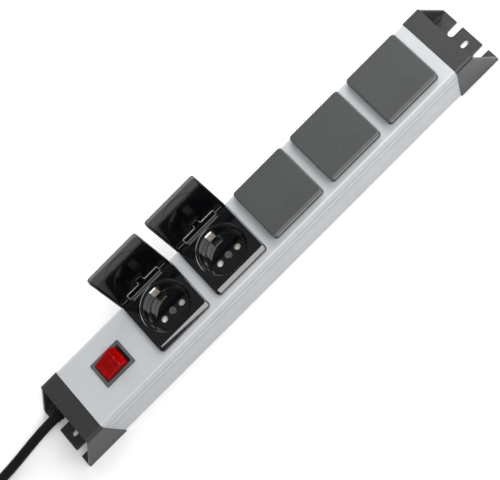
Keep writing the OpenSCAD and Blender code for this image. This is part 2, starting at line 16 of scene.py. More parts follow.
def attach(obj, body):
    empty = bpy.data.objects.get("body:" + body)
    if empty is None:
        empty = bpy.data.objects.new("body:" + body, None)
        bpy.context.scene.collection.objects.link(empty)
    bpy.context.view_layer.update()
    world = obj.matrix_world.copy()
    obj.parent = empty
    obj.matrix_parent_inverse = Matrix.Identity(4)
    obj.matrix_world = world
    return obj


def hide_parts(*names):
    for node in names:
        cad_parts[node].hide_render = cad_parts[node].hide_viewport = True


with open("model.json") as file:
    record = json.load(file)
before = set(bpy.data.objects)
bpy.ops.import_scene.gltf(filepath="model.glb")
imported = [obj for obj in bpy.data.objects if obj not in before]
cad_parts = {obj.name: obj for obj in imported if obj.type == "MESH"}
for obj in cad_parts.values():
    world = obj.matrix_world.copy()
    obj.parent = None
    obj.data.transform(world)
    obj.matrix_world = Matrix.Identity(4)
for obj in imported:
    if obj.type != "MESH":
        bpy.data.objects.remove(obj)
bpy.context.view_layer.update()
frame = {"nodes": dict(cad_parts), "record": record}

# %% [markdown]
# ## The camera
# A product picture of a long thing is taken from far away with a long lens, so that the near end
# doesn't look bigger than the far end. The camera stands 1.3 m away and looks steeply down. Its
# place is a point, and its aim is three directions at right angles: to its right, up, and back.
# We give them as a matrix, because the strip lies across the picture's diagonal and the camera is
# rolled, which an aim point alone can't say.

# %% Camera
MM = 0.001
PICTURE_WIDTH = 500
FOCAL_PIXELS = 1674
SENSOR_MM = 36
camera_place = Vector((51.0, -558.9, 1224.0)) * MM
view_way = Vector((-0.0462, 0.4212, -0.9058)).normalized()
right_way = Vector((0.706, -0.628, -0.328))
right_way = (right_way - right_way.dot(view_way) * view_way).normalized()
up_way = right_way.cross(view_way)
lens = bpy.data.cameras.new("studio_camera")
lens.sensor_width = SENSOR_MM
lens.lens = FOCAL_PIXELS / PICTURE_WIDTH * SENSOR_MM
lens.clip_end = 20
camera = bpy.data.objects.new("studio_camera", lens)
turn = Matrix((right_way, up_way, -view_way)).transposed().to_4x4()
camera.matrix_world = Matrix.Translation(camera_place) @ turn
bpy.context.scene.collection.objects.link(camera)
bpy.context.scene.camera = camera
print("lens", round(lens.lens, 1), "mm")

# %% [markdown]
# ## Sums for shaders
# A procedural material is a small sum over the surface: noise times a number, plus another number.
# Blender writes each step as a node. A Link wraps a node's output so that Python's own + and *
# add the Math nodes for us, and the sum reads like a sum. Colours never go through Math nodes,
# which would turn them grey; they have their own mixing method on the Finish.

# %% A socket that can be used in sums
class Link:
    def __init__(self, finish, socket):
        self.finish, self.socket = finish, socket

    def math(self, operation, first, second):
        return self.finish.node("ShaderNodeMath", {"operation": operation}, {0: first, 1: second})

    def __add__(self, other):
        return self.math("ADD", self, other)

    __radd__ = __add__

    def __sub__(self, other):
        return self.math("SUBTRACT", self, other)

    def __rsub__(self, other):
        return self.math("SUBTRACT", other, self)

    def __mul__(self, other):
        return self.math("MULTIPLY", self, other)

    __rmul__ = __mul__

    def over(self, limit):
        return self.math("GREATER_THAN", self, limit)


# %% [markdown]
# ## A material maker
# Each Finish is one material with a Principled shader. node() makes any other node: settings go in
# first because they can change which sockets the node has, and then its sockets get numbers or
# links. The helpers under it are the textures that plastics and metals of this kind need: a grain
# in the object's own millimetres, a ramp, a mix of two colours, and a bump.

# %% The material maker
class Finish:
    def __init__(self, name, **constants):
        self.material = bpy.data.materials.new(name)
        self.material.use_nodes = True
        self.tree = self.material.node_tree
        self.tree.nodes.clear()
        end = self.tree.nodes.new("ShaderNodeOutputMaterial")
        self.shader = self.tree.nodes.new("ShaderNodeBsdfPrincipled")
        self.tree.links.new(self.shader.outputs[0], end.inputs[0])
        for socket, value in constants.items():
            self.shader.inputs[socket.replace("_", " ")].default_value = value
        self.here = self.node("ShaderNodeTexCoord", out="Object")

    def node(self, kind, settings=None, sockets=None, out=0):
        made = self.tree.nodes.new(kind)
        for key, value in (settings or {}).items():
            if key == "stops":
                while len(made.color_ramp.elements) < len(value):
                    made.color_ramp.elements.new(0.5)
                for element, (place, colour) in zip(made.color_ramp.elements, value):
                    element.position, element.color = place, colour
            else:
                setattr(made, key, value)
        for key, value in (sockets or {}).items():
            self.feed(made.inputs[key], value)
        return Link(self, made.outputs[out])

    def feed(self, socket, value):
        if isinstance(value, Link):
            self.tree.links.new(value.socket, socket)
        else:
            socket.default_value = value

    def set(self, **sockets):
        for name, value in sockets.items():
            self.feed(self.shader.inputs[name.replace("_", " ")], value)

    def grain(self, size, detail=2.0, stretch=(1, 1, 1), rough=0.5):
        """Noise from 0 to 1 whose spots are about size millimetres across."""
        place = self.node("ShaderNodeMapping", sockets={"Vector": self.here, "Scale": stretch})
        return self.node("ShaderNodeTexNoise", sockets={
            "Vector": place, "Scale": 1 / (size * MM), "Detail": detail, "Roughness": rough})

    def ramp(self, value, low, high):
        return self.node("ShaderNodeMapRange", {"clamp": True}, {
            "Value": value, "From Min": low, "From Max": high})

    def mix(self, factor, low, high):
        return self.node("ShaderNodeMix", {"data_type": "RGBA"},
                         {0: factor, 6: low, 7: high}, out=2)

    def bump(self, height, depth, strength=1.0):
        """Raises the surface by depth millimetres where height is 1."""
        self.set(Normal=self.node("ShaderNodeBump", sockets={
            "Height": height, "Distance": depth * MM, "Strength": strength}))


def shade(red, green, blue):
    """A colour as it looks on a screen, from 0 to 255, turned into the light it sends back."""
    def light(value):
        value /= 255
        return value / 12.92 if value <= 0.04045 else ((value + 0.055) / 1.055) ** 2.4
    return (light(red), light(green), light(blue), 1)


# %% [markdown]
# ## Moulded plastics
# The caps, lids, sockets and bezel are all moulded, but out of different tools. A spark-eroded tool
# leaves a fine grain that scatters light, with pale spots where the grain's tops catch it, and a
# polished tool leaves a gloss that shows every highlight. So one recipe serves them all: a grain
# for colour, the same grain for bump, and a wide slow noise that stops large faces looking dead.
# The caps and lids also have a thin clear coat, which gives their edges a fine bright line.

# %% Grained and glossy plastics
FINISHES = {}


def grained(name, dark, light, grain_mm=0.7, depth=0.05, roughness=0.55, **constants):
    finish = Finish(name, **constants)
    fine = finish.grain(grain_mm, detail=3)
    slow = finish.grain(45, detail=1)
    speckle = finish.ramp(fine + 0.25 * slow, 0.42, 0.85)
    finish.set(Base_Color=finish.mix(speckle, dark, light),
               Roughness=roughness + 0.18 * fine - 0.06 * slow)
    finish.bump(fine + 0.5 * finish.grain(grain_mm * 2.6, detail=1), depth)
    return finish.material


def glossy(name, dark, light, roughness=0.05, **constants):
    finish = Finish(name, **constants)
    slow = finish.grain(30, detail=2)
    scuff = finish.ramp(finish.grain(3, detail=4, stretch=(1, 0.2, 1)), 0.6, 0.8)
    finish.set(Base_Color=finish.mix(slow, dark, light),
               Roughness=roughness + 0.05 * slow + 0.06 * scuff)
    finish.bump(finish.grain(14, detail=0), 0.015, 0.5)
    return finish.material


FINISHES["cap_plastic"] = grained(
    "cap_plastic", shade(26, 28, 27), shade(48, 50, 49), 0.8, 0.05, 0.4,
    Coat_Weight=0.12, Coat_Roughness=0.22)
FINISHES["lid_plastic"] = grained(
    "lid_plastic", shade(44, 47, 46), shade(64, 67, 66), 0.75, 0.04,
    Coat_Weight=1.0, Coat_Roughness=0.12)
FINISHES["bezel_plastic"] = grained(
    "bezel_plastic", shade(58, 63, 61), shade(82, 87, 85), 0.5, 0.03)
FINISHES["grey_plastic"] = grained(
    "grey_plastic", shade(104, 105, 107), shade(136, 137, 139), 0.6, 0.04)
FINISHES["white_plastic"] = grained(
    "white_plastic", shade(214, 214, 210), shade(232, 232, 228), 0.5, 0.02)
FINISHES["shutter_plastic"] = grained(
    "shutter_plastic", shade(206, 205, 192), shade(228, 226, 214), 0.4, 0.02, 0.4)
FINISHES["plug_plastic"] = grained("plug_plastic", shade(22, 22, 23), shade(42, 42, 43), 0.5, 0.04)
FINISHES["socket_plastic"] = glossy(
    "socket_plastic", shade(6, 8, 10), shade(12, 14, 16), Coat_Weight=1.0, Coat_Roughness=0.05)
lid_inside = glossy("lid_inside", shade(5, 6, 8), shade(11, 12, 14))
print("plastics:", len(FINISHES) + 1)

# %% [markdown]
# ## Metals
# The profile is silver-anodised: the oxide layer makes aluminium pale and satin, and the extrusion
# die leaves faint lines along its length, so its grain is stretched 60 times along X. The contacts
# are nickel-plated brass that shows yellow where the plating is thin. The springs and outer screws
# are bright zinc, and the sockets' centre screws and the hinge pins are a darker, rougher steel.

# %% Metals
def metal(name, dark, light, grain_mm, stretch, roughness, metallic=1.0, depth=0.01):
    finish = Finish(name, Metallic=metallic)
    lines = finish.grain(grain_mm, detail=3, stretch=stretch)
    cloud = finish.grain(35, detail=2)
    finish.set(Base_Color=finish.mix(0.6 * lines + 0.4 * cloud, dark, light),
               Roughness=roughness + 0.14 * lines)
    finish.bump(lines, depth)
    return finish


FINISHES["aluminium"] = metal(
    "aluminium", shade(174, 177, 179), shade(192, 194, 197), 0.5, (0.016, 1, 1), 0.42, 0.2).material
FINISHES["zinc_steel"] = metal(
    "zinc_steel", shade(206, 207, 202), shade(236, 236, 226), 0.3, (1, 1, 1), 0.22, 0.8).material
dull_screw = metal("dull_screw", shade(96, 97, 95), shade(122, 122, 118), 0.3, (1, 1, 1), 0.45, 0.8)
FINISHES["brass"] = metal(
    "brass", shade(196, 158, 84), shade(226, 192, 118), 0.3, (0.1, 1, 1), 0.28).material
plated = metal("nickel", shade(196, 192, 184), shade(232, 230, 226), 0.4, (1, 1, 0.2), 0.24, 0.65)
worn = plated.ramp(plated.grain(5, detail=4), 0.52, 0.7)
plated.set(Base_Color=plated.mix(worn, shade(226, 224, 220), shade(206, 176, 112)))
FINISHES["nickel"] = plated.material
print("metals done")

# %% [markdown]
# ## Rubber, wires, cloth and the red rocker
# The cord's sheath is a black rubber with a dull sheen. Wires are soft vinyl, and the earth wire is
# striped, which a wave texture gives. The tie is a woven strap. The rocker is clear red plastic
# over a lamp, so its colour is deep where it is thick and bright where light comes through: a
# gentle emission in the same red stands for the lamp's glow.

# %% Rubber, wires, cloth, red
def rubbery(name, dark, light, roughness=0.45, **constants):
    finish = Finish(name, **constants)
    fine = finish.grain(0.9, detail=3)
    finish.set(Base_Color=finish.mix(fine, dark, light), Roughness=roughness + 0.2 * fine)
    finish.bump(fine, 0.03)
    return finish


FINISHES["cord_rubber"] = rubbery("cord_rubber", shade(5, 5, 6), shade(13, 13, 14), 0.6,
                                  Specular_IOR_Level=0.2).material
FINISHES["brown_wire"] = rubbery("brown_wire", shade(84, 50, 28), shade(104, 64, 38), 0.3).material
FINISHES["blue_wire"] = rubbery("blue_wire", shade(30, 78, 150), shade(44, 96, 172), 0.3).material
earth = rubbery("green_yellow_wire", shade(60, 140, 60), shade(70, 150, 66), 0.3)
stripe = earth.node("ShaderNodeTexWave", sockets={
    "Vector": earth.here, "Scale": 60.0, "Distortion": 0.5}, out="Fac").over(0.5)
earth.set(Base_Color=earth.mix(stripe, shade(226, 206, 50), shade(52, 138, 62)))
FINISHES["green_yellow_wire"] = earth.material

cloth = Finish("tie_fabric", Sheen_Weight=0.4)
warp = cloth.node("ShaderNodeTexWave", {"bands_direction": "Z"}, {
    "Vector": cloth.here, "Scale": 320.0, "Distortion": 1.0}, out="Fac")
weft = cloth.node("ShaderNodeTexWave", {"bands_direction": "DIAGONAL"}, {
    "Vector": cloth.here, "Scale": 260.0, "Distortion": 1.0}, out="Fac")
weave = warp * weft
cloth.set(Base_Color=cloth.mix(weave, shade(14, 14, 15), shade(46, 46, 48)),
          Roughness=0.75 + 0.2 * weave)
cloth.bump(weave, 0.15)
FINISHES["tie_fabric"] = cloth.material

red = Finish("red_rocker", Specular_IOR_Level=0.3, Emission_Strength=0.08)
depth_of_red = red.ramp(red.grain(7, detail=2), 0.3, 0.7)
red.set(Base_Color=red.mix(depth_of_red, (0.20, 0.0, 0.0, 1), (0.32, 0.001, 0.001, 1)),
        Emission_Color=red.mix(depth_of_red, (0.25, 0.0, 0.0, 1), (0.55, 0.0, 0.0, 1)),
        Roughness=0.06 + 0.06 * red.grain(1.2))
FINISHES["red_rocker"] = red.material
lamp = Finish("lamp_glass", Emission_Strength=0.5)
glow = lamp.grain(2)
lamp.set(Base_Color=lamp.mix(glow, (0.8, 0.25, 0.1, 1), (0.95, 0.5, 0.3, 1)),
         Emission_Color=lamp.mix(glow, (0.9, 0.2, 0.05, 1), (1.0, 0.4, 0.2, 1)))
FINISHES["lamp_glass"] = lamp.material
print("finishes:", sorted(FINISHES))

# %% [markdown]
# ## Dress the CAD parts
# The parts inside the housing, such as rails, wires and terminals, already have their true shapes,
# so they keep their CAD meshes and only get a finish. The record says which slot each part takes.
# Shading is smooth across the small steps of a curve, and sharp where two real faces meet.

# %% Finishes on the CAD parts
SHARP = math.radians(35)
slot_of = {row["node"]: row["material_slot"] for row in frame["record"]["subparts"]}
for node, cad in frame["nodes"].items():
    cad.data.materials.clear()
    cad.data.materials.append(FINISHES[slot_of[node]])
    for polygon in cad.data.polygons:
        polygon.use_smooth = True
    cad.data.set_sharp_from_angle(angle=SHARP)
for node in ("socket_screws", "hinge_pins"):
    frame["nodes"][node].data.materials[0] = dull_screw.material
print("dressed", len(slot_of), "CAD parts")

# %% [markdown]
# ## Tools for making pieces
# Moulded and extruded things are stacks of outlines. ring() draws a rounded rectangle with a fixed
# number of points, and rounded() pushes those points out onto a circle, so the two can be joined
# by straight strips. loft() skins a stack of such loops. Lengths are in millimetres, and bare()
# turns a finished mesh into an object in metres; finish_piece() gives it its finish later.

# %% Outlines and lofts
CORNER_STEPS = 8
SIDE_STEPS = 14


def ring(width, depth, radius, z, centre=(0, 0), corner=CORNER_STEPS, side=SIDE_STEPS):
    points = []
    for sx, sy, start in ((1, 1, 0), (-1, 1, 90), (-1, -1, 180), (1, -1, 270)):
        for k in range(corner + 1):
            angle = math.radians(start + 90 * k / corner)
            points.append((centre[0] + sx * (width / 2 - radius) + radius * math.cos(angle),
                           centre[1] + sy * (depth / 2 - radius) + radius * math.sin(angle)))
    loop = []
    for k, point in enumerate(points):
        loop.append(point)
        if k % (corner + 1) == corner:
            after = points[(k + 1) % len(points)]
            loop += [(point[0] + (after[0] - point[0]) * s / side,
                      point[1] + (after[1] - point[1]) * s / side) for s in range(1, side)]
    return [(x, y, z) for x, y in loop]


def rounded(loop, radius, z, centre=(0, 0)):
    out = []
    for x, y, _ in loop:
        reach = math.hypot(x - centre[0], y - centre[1])
        out.append((centre[0] + (x - centre[0]) * radius / reach,
                    centre[1] + (y - centre[1]) * radius / reach, z))
    return out


def circle(radius, z, steps=48):
    turns = [2 * math.pi * k / steps for k in range(steps)]
    return [(radius * math.cos(turn), radius * math.sin(turn), z) for turn in turns]


def loft(loops, closed=True):
    """Skins a stack of loops and closes both ends, or joins the last loop to the first."""
    made = bmesh.new()
    rows = [[made.verts.new(point) for point in loop] for loop in loops]
    pairs = list(zip(rows, rows[1:])) + ([] if closed else [(rows[-1], rows[0])])
    for low, high in pairs:
        for k in range(len(low)):
            after = (k + 1) % len(low)
            made.faces.new((low[k], low[after], high[after], high[k]))
    if closed:
        made.faces.new(list(reversed(rows[0])))
        made.faces.new(rows[-1])
    bmesh.ops.recalc_face_normals(made, faces=made.faces[:])
    return made


def soft_edge(width, depth, radius, top, edge, centre=(0, 0), steps=5):
    """The loops of a rounded top edge, from the side up and over onto the top."""
    loops = []
    for k in range(steps + 1):
        angle = math.radians(90 * k / steps)
        inset = edge * (1 - math.cos(angle))
        loops.append(ring(width - 2 * inset, depth - 2 * inset, max(radius - inset, 0.3),
                          top - edge + edge * math.sin(angle), centre))
    return loops


# %% Blocks, bars and rods to add or cut away
def block(low, high):
    return loft([[(low[0], low[1], z), (high[0], low[1], z), (high[0], high[1], z),
                  (low[0], high[1], z)] for z in (low[2], high[2])])


def bar_x(outline, start, end):
    """An outline drawn in Y and Z, drawn out along X."""
    return loft([[(x, y, z) for y, z in outline] for x in (start, end)])


def bar_y(outline, start, end):
    """An outline drawn in X and Z, drawn out along Y."""
    return loft([[(x, y, z) for x, z in outline] for y in (start, end)])


def rod(axis, centre, radius, start, end, steps=32):
    """A round rod along x, y or z; centre holds its other two coordinates."""
    loops = []
    for along in (start, end):
        loop = []
        for a, b, _ in circle(radius, 0, steps):
            point = [centre[0] + a, centre[1] + b]
            point.insert("xyz".index(axis), along)
            loop.append(tuple(point))
        loops.append(loop)
    return loft(loops)


def spun_x(profile, centre, steps=48):
    """A turned shape about a line along X, from pairs of x and radius."""
    return loft([[(x, centre[0] + a, centre[1] + b) for a, b, _ in circle(r, 0, steps)]
                 for x, r in profile])


# %% [markdown]
# ## Joining, cutting and softening
# A toolmaker adds bosses and mills slots, and Blender's Boolean does the same. Afterwards flat
# neighbours are melted into one face and a Bevel rounds what is still sharp, because no moulded
# edge is perfectly sharp and it is the small round that catches the light. Weighted normals keep
# the flats flat beside those rounds. Each modifier is applied at once, so that the piece's mesh is
# its final shape.

# %% Joining, cutting and softening
def bare(made, name="tool"):
    mesh = bpy.data.meshes.new(name)
    made.transform(Matrix.Scale(MM, 4))
    made.to_mesh(mesh)
    made.free()
    thing = bpy.data.objects.new(name, mesh)
    bpy.context.scene.collection.objects.link(thing)
    return thing


def settle(thing):
    """Applies the modifiers on a piece."""
    bpy.context.view_layer.update()
    seen = thing.evaluated_get(bpy.context.evaluated_depsgraph_get())
    mesh = bpy.data.meshes.new_from_object(seen)
    old, thing.data = thing.data, mesh
    thing.modifiers.clear()
    mesh.name = thing.name
    bpy.data.meshes.remove(old)
    return thing


def boolean(thing, tools, operation):
    for made in tools:
        tool = bare(made)
        step = thing.modifiers.new("step", "BOOLEAN")
        step.operation, step.solver, step.object = operation, "EXACT", tool
        settle(thing)
        mesh = tool.data
        bpy.data.objects.remove(tool)
        bpy.data.meshes.remove(mesh)
    return thing


def tidy_faces(thing, angle=1.0):
    made = bmesh.new()
    made.from_mesh(thing.data)
    bmesh.ops.remove_doubles(made, verts=made.verts[:], dist=2e-6)
    bmesh.ops.dissolve_limit(made, angle_limit=math.radians(angle), verts=made.verts[:],
                             edges=made.edges[:])
    made.to_mesh(thing.data)
    made.free()


def piece(name, made, add=(), cut=(), edge=0.0, steps=2, angle=35):
    thing = bare(made, name)
    if add:
        boolean(thing, add, "UNION")
    if cut:
        boolean(thing, cut, "DIFFERENCE")
    if add or cut:
        tidy_faces(thing)
    if edge:
        soften = thing.modifiers.new("soften", "BEVEL")
        soften.width, soften.segments = edge * MM, steps
        soften.limit_method, soften.angle_limit = "ANGLE", math.radians(angle)
        soften.harden_normals = False
    for polygon in thing.data.polygons:
        polygon.use_smooth = True
    settle(thing)
    thing.data.set_sharp_from_angle(angle=SHARP)
    even = thing.modifiers.new("even", "WEIGHTED_NORMAL")
    even.keep_sharp = True
    return settle(thing)


def finish_piece(thing, slot, body, *nodes, extra=()):
    """Gives a piece its finish, its body and the CAD parts that it stands for."""
    thing.data.materials.clear()
    for material in (FINISHES[slot], *extra):
        thing.data.materials.append(material)
    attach(thing, body)
    if nodes:
        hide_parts(*nodes)
    return thing


# %% [markdown]
# ## The cord
# The cord is 1.5 m of round rubber cable. It leaves its strain relief straight, droops to the table
# under its own weight, and then lies in a neat coil of four and a half turns that a tie holds, with
# the plug beside it. We make it as one curve and let the curve's own bevel give the thickness:
# unlike a mesh tube, a curve keeps its diameter and its length can be read off it.

# %% The cord's route
CORD_R = 4.1
LEAD = [(-223.5, 14, 15), (-226, 14, 15), (-234, 14, 14.6), (-246, 14, 13), (-258, 14, 10.6),
        (-270, 14, 8), (-282, 14, 6), (-294, 14.3, 4.8), (-306, 16.6, 4.3), (-320, 21.4, 4.3),
        (-334, 27, 4.4), (-348, 32, 4.7)]
TAIL = [(-352, -66, 21.6), (-340, -66, 21.2), (-328, -66, 20.3), (-316, -66, 19.2),
        (-304, -66, 18.5), (-302, -66, 18.5)]
COIL_CENTRE = (-364, -16)
OUTER_R, INNER_R = 50, 41.6
COIL_Z = (5, 13.3, 21.6)
# from angle, to angle, radius at both ends, layer at both ends
TURNS = [(90, 400, OUTER_R, OUTER_R, 0, 0), (400, 445, OUTER_R, INNER_R, 0, 0),
         (445, 725, INNER_R, INNER_R, 0, 0), (725, 760, INNER_R, INNER_R, 0, 1),
         (760, 1050, INNER_R, INNER_R, 1, 1), (1050, 1085, INNER_R, OUTER_R, 1, 1),
         (1085, 1375, OUTER_R, OUTER_R, 1, 1), (1375, 1410, OUTER_R, OUTER_R, 1, 2),
         (1410, 1710, OUTER_R, OUTER_R, 2, 2)]
STEP_DEGREES = 15


def coil_point(angle):
    for start, end, r0, r1, z0, z1 in TURNS:
        if start <= angle <= end:
            t = (angle - start) / (end - start)
            t = t * t * (3 - 2 * t)
            r = r0 + (r1 - r0) * t
            z = COIL_Z[z0] + (COIL_Z[z1] - COIL_Z[z0]) * t
            a = math.radians(angle)
            return (COIL_CENTRE[0] + r * math.cos(a), COIL_CENTRE[1] + r * math.sin(a), z)


first, last = TURNS[0][0], TURNS[-1][1]
angles = [first + STEP_DEGREES * k for k in range((last - first) // STEP_DEGREES + 1)]
route = LEAD + [coil_point(a) for a in angles] + TAIL
length = sum((Vector(b) - Vector(a)).length for a, b in zip(route, route[1:])) * MM
print("cord points", len(route), "length about", round(length, 3), "m")

# %% The cord as a curve
curve = bpy.data.curves.new("cord", "CURVE")
curve.dimensions = "3D"
curve.bevel_depth = CORD_R * MM
curve.bevel_resolution = 5
curve.resolution_u = 3
line = curve.splines.new("BEZIER")
line.bezier_points.add(len(route) - 1)
for knot, place in zip(line.bezier_points, route):
    knot.co = Vector(place) * MM
    knot.handle_left_type = knot.handle_right_type = "AUTO"
line.use_smooth = True
cord = bpy.data.objects.new("cord", curve)
bpy.context.scene.collection.objects.link(cord)
curve.materials.append(FINISHES["cord_rubber"])
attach(cord, "housing")
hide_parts("cord_lead", "cord_coil", "cord_tail")
print("cord diameter", 2 * CORD_R, "mm")

# %% [markdown]
# ## The plug
# A moulded plug is a turned shape: a ribbed strain relief grows into a round body with a flat face.
# Two side grooves take the socket's guide ribs, and two more seat the earth strips. We spin its
# profile about X and cut the grooves.

# %% The plug's body
PLUG_START, PLUG_FACE = -302, -260
PLUG_LINE = (-66, 18.5)
plug_profile = [(PLUG_START, 5.2), (PLUG_START + 1.2, 5.7)]
for k in range(4):
    start = PLUG_START + 2 + 3 * k
    radius = 5.9 + 0.45 * k
    plug_profile += [(start, radius), (start + 0.3, radius - 0.7), (start + 1.1, radius - 0.7),
                     (start + 1.4, radius + 0.2)]
plug_profile += [(PLUG_START + 14, 7.6), (PLUG_START + 15, 9.6), (PLUG_START + 16.5, 11),
                 (PLUG_START + 20, 12.8), (PLUG_START + 23, 14.2), (PLUG_START + 24.2, 15.6),
                 (PLUG_START + 25, 17.4), (PLUG_START + 26.2, 18.2), (PLUG_START + 28, 18.4),
                 (PLUG_FACE - 1, 18.4), (PLUG_FACE - 0.3, 18.1), (PLUG_FACE, 17.4)]
py, pz = PLUG_LINE
grooves = [block((PLUG_FACE - 16, py + s * 17.6 - 1.6, pz - 3.1),
                 (PLUG_FACE + 4, py + s * 17.6 + 1.6, pz + 3.1)) for s in (-1, 1)]
seats = [block((PLUG_FACE - 15, py - 3.4, pz + s * 18 - 1.1),
               (PLUG_FACE + 5, py + 3.4, pz + s * 18 + 1.1)) for s in (-1, 1)]
plug = piece("plug", spun_x(plug_profile, PLUG_LINE, 64), cut=grooves + seats, edge=0.25, angle=40)
finish_piece(plug, "plug_plastic", "housing", "plug_body")
print("plug faces", len(plug.data.polygons))

# %% [markdown]
# ## The tie
# A woven strap goes round the bundle of turns. It is a flat band whose path is a rounded
# rectangle in the coil's own section, so we walk round that rectangle and lay four corners of the
# band's section at each step.

# %% The tie's band
TIE_ANGLE, TIE_WIDTH, TIE_THICK = 150, 12, 0.7
tie_mid_r = (OUTER_R + INNER_R) / 2
tie_mid_z = (COIL_Z[0] + COIL_Z[2]) / 2
tie_w = OUTER_R - INNER_R + 2 * CORD_R + 0.4
tie_h = COIL_Z[2] - COIL_Z[0] + 2 * CORD_R + 0.4
out_way = Vector((math.cos(math.radians(TIE_ANGLE)), math.sin(math.radians(TIE_ANGLE)), 0))
side_way = Vector((-out_way.y, out_way.x, 0))
centre = Vector((*COIL_CENTRE, tie_mid_z)) + out_way * tie_mid_r
inside = ring(tie_w, tie_h, 3.6, 0, corner=6, side=4)
outside = ring(tie_w + 2 * TIE_THICK, tie_h + 2 * TIE_THICK, 3.6 + TIE_THICK, 0, corner=6, side=4)
loops = []
for (a, b, _), (c, d, _) in zip(inside, outside):
    low, high = (centre + out_way * u + Vector((0, 0, v)) for u, v in ((a, b), (c, d)))
    loops.append([tuple(low - side_way * TIE_WIDTH / 2), tuple(high - side_way * TIE_WIDTH / 2),
                  tuple(high + side_way * TIE_WIDTH / 2), tuple(low + side_way * TIE_WIDTH / 2)])
tie = piece("cord_tie_band", loft(loops, closed=False), edge=0.2, angle=60)
finish_piece(tie, "tie_fabric", "housing", "cord_tie")
print("tie faces", len(tie.data.polygons))

# %% [markdown]
# ## The strain relief
# Where the cord enters the cap a rubber sleeve keeps it from bending sharply. It tapers towards the
# cord, and rings round it let it flex. The sheath's end inside the cap stays as the CAD made it.

# %% The strain relief
CORD_Y, CORD_Z = 14, 15
CAP_END = 211.5
RELIEF_TIP = -223.5
relief = [(RELIEF_TIP, 4.45), (RELIEF_TIP + 0.5, 4.85)]
for k in range(3):
    start = RELIEF_TIP + 1.6 + 3.1 * k
    radius = 4.95 + 0.2 * k
    relief += [(start, radius), (start + 0.35, radius - 0.5), (start + 1.15, radius - 0.5),
               (start + 1.5, radius + 0.06)]
relief += [(-CAP_END + 0.2, 5.58), (-201, 5.58), (-200.4, 5.2)]
relief_piece = piece("strain_relief_sleeve", spun_x(relief, (CORD_Y, CORD_Z), 40), edge=0.1)
finish_piece(relief_piece, "cord_rubber", "housing", "strain_relief")
print("strain relief faces", len(relief_piece.data.polygons))

# %% [markdown]
# ## The aluminium profile
# An extrusion has one outline all along its length, so it is drawn once and pulled along X. The
# die rounds the top's two long edges, cuts two shadow grooves and a field of fine ribs into each
# side, and leaves two lips at the bottom that hold the base plate. The sockets' and the switch's
# openings are milled into its top afterwards.

# %% The profile's outline
HALF_L = 194.5
HALF_W = 31
TOP = 38.6
BOTTOM = 1.4
WALL = 1.8
CORNER = 3


def groove(z, height, depth, steps=4):
    """A rounded groove in a side face, from below to above."""
    points = []
    for k in range(steps + 1):
        swing = math.pi * k / steps
        points.append((HALF_W - depth * math.sin(swing) ** 0.7, z - height / 2 * math.cos(swing)))
    return points


FIRST_GROOVE_Z, GROOVE_STEP, GROOVES = 3.4, 1.8, 11
GROOVE_H, GROOVE_D = 0.8, 0.5
SHADOW_Z = (24.2, 31.4)
SHADOW_D, SHADOW_MOUTH, SHADOW_FLOOR = 0.9, 0.65, 0.55
half = [(HALF_W, BOTTOM)]
for k in range(GROOVES):
    half += groove(FIRST_GROOVE_Z + GROOVE_STEP * k, GROOVE_H, GROOVE_D)
for z in SHADOW_Z:
    half += [(HALF_W, z - SHADOW_MOUTH), (HALF_W - SHADOW_D, z - SHADOW_FLOOR),
             (HALF_W - SHADOW_D, z + SHADOW_FLOOR), (HALF_W, z + SHADOW_MOUTH)]
for k in range(CORNER_STEPS + 1):
    angle = math.radians(90 * k / CORNER_STEPS)
    half.append((HALF_W - CORNER + CORNER * math.cos(angle),
                 TOP - CORNER + CORNER * math.sin(angle)))
INNER_W = HALF_W - WALL
LIP_END = INNER_W - 2
LIP_Z, LIP_T = 4.5, 1.1
lips = [(INNER_W, TOP - WALL), (INNER_W, LIP_Z + LIP_T), (LIP_END, LIP_Z + LIP_T),
        (LIP_END, LIP_Z), (INNER_W, LIP_Z), (INNER_W, BOTTOM + LIP_T), (LIP_END, BOTTOM + LIP_T),
        (LIP_END, BOTTOM)]
outline = ([(y, z) for y, z in half] + [(-y, z) for y, z in reversed(half)]
           + [(-y, z) for y, z in reversed(lips)] + lips)
print("outline points", len(outline))

# %% The profile with its openings
SOCKET_X = [-93 + 62.5 * k for k in range(5)]
SOCKET_Y = 2
SWITCH = (-155, 0.7)
SOCKET_OPENING = (47, 45.6, 3.3)
SWITCH_OPENING = (27.4, 21.8, 0.6)


def opening(size, centre):
    return loft([ring(*size, z, centre, 4, 2) for z in (TOP - 3, TOP + 1)])


openings = [opening(SOCKET_OPENING, (x, SOCKET_Y)) for x in SOCKET_X]
openings.append(opening(SWITCH_OPENING, SWITCH))
profile = piece("profile_shell", bar_x(outline, -HALF_L, HALF_L), cut=openings, edge=0.12, steps=1)
finish_piece(profile, "aluminium", "housing", "profile_housing")
print("profile faces", len(profile.data.polygons))

# %% [markdown]
# ## The end caps
# Each cap is one moulding: a box that closes the profile, skirts that lap over its sides with
# slanted edges, and a foot between two slanting walls with slots for the screws that hold the strip
# down. The two caps are mirror images, but only one of them has the cord's hole.

# %% The end caps
CAP_HALF = 32
CAP_H = 39
FOOT_END = 229.5
FOOT_T = 3
FOOT_Y = -2.4
SLOT_X, SLOT_Y, SLOT_R = 220.2, 14.95, 3.7
CLOSED_SLOT = (8.5, 5, 2.49)
SIDE_T, BOX_T, SKIRT_T = 2, 2.4, 0.9
SKIRT_L, SKIRT_TOP = 6, 34
RIB_Y, RIB_HALF, RIB_L, RIB_TOP = 28.7, 1.4, 12, 5.4
SCREW_Y, SCREW_Z, SCREW_HOLE_R = 27.2, 14, 1.6
CORD_HOLE_R = 5.7


